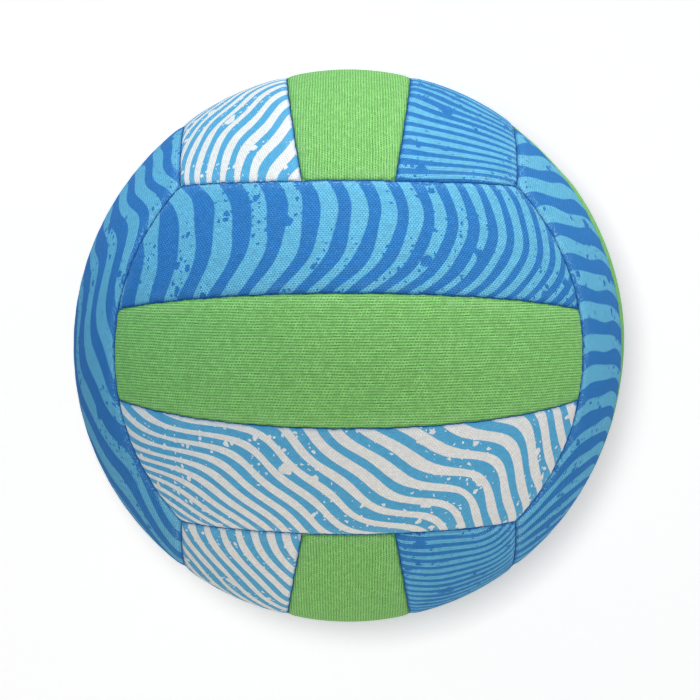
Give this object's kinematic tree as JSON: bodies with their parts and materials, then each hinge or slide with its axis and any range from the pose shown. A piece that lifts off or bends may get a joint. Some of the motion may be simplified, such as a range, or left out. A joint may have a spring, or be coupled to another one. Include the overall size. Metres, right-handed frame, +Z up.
{
  "type": "beach volleyball",
  "caption": "Inflated ball with a sewn cover of knit-faced neoprene strips in green, printed blue and printed white, over a rubber bladder with a needle valve.",
  "frame": {"origin": "the ball's centre", "axes": "+Z up, through the middle of the face that the picture shows, whose strips run along X; the valve's panel is on the -X side"},
  "size_m": [0.2094, 0.2092, 0.2091],
  "materials": {
    "green_knit": "matte knit",
    "blue_print": "matte printed knit",
    "white_print": "matte printed knit",
    "seam_thread": "twisted thread",
    "bladder_rubber": "satin",
    "valve_rubber": "satin",
    "plug_rubber": "satin",
    "patch_cloth": "matte woven"
  },
  "bodies": {
    "root": {"right_white_panel": "white_print", "right_green_panel": "green_knit", "right_blue_panel": "blue_print", "left_white_panel": "white_print", "left_green_panel": "green_knit", "left_blue_panel": "blue_print", "back_white_panel": "white_print", "back_green_panel": "green_knit", "back_blue_panel": "blue_print", "front_white_panel": "white_print", "front_green_panel": "green_knit", "front_blue_panel": "blue_print", "top_white_panel": "white_print", "top_green_panel": "green_knit", "top_blue_panel": "blue_print", "bottom_white_panel": "white_print", "bottom_green_panel": "green_knit", "bottom_blue_panel": "blue_print", "right_blue_green_thread": "seam_thread", "right_top_thread": "seam_thread", "right_green_white_thread": "seam_thread", "right_bottom_thread": "seam_thread", "left_blue_green_thread": "seam_thread", "left_top_thread": "seam_thread", "left_green_white_thread": "seam_thread", "left_bottom_thread": "seam_thread", "back_blue_green_thread": "seam_thread", "back_right_thread": "seam_thread", "back_green_white_thread": "seam_thread", "back_left_thread": "seam_thread", "front_blue_green_thread": "seam_thread", "front_right_thread": "seam_thread", "front_green_white_thread": "seam_thread", "front_left_thread": "seam_thread", "top_blue_green_thread": "seam_thread", "top_back_thread": "seam_thread", "top_green_white_thread": "seam_thread", "top_front_thread": "seam_thread", "bottom_blue_green_thread": "seam_thread", "bottom_back_thread": "seam_thread", "bottom_green_white_thread": "seam_thread", "bottom_front_thread": "seam_thread", "bladder": "bladder_rubber", "valve_housing": "valve_rubber", "valve_plug": "plug_rubber", "valve_patch": "patch_cloth"}
  },
  "joints": []
}
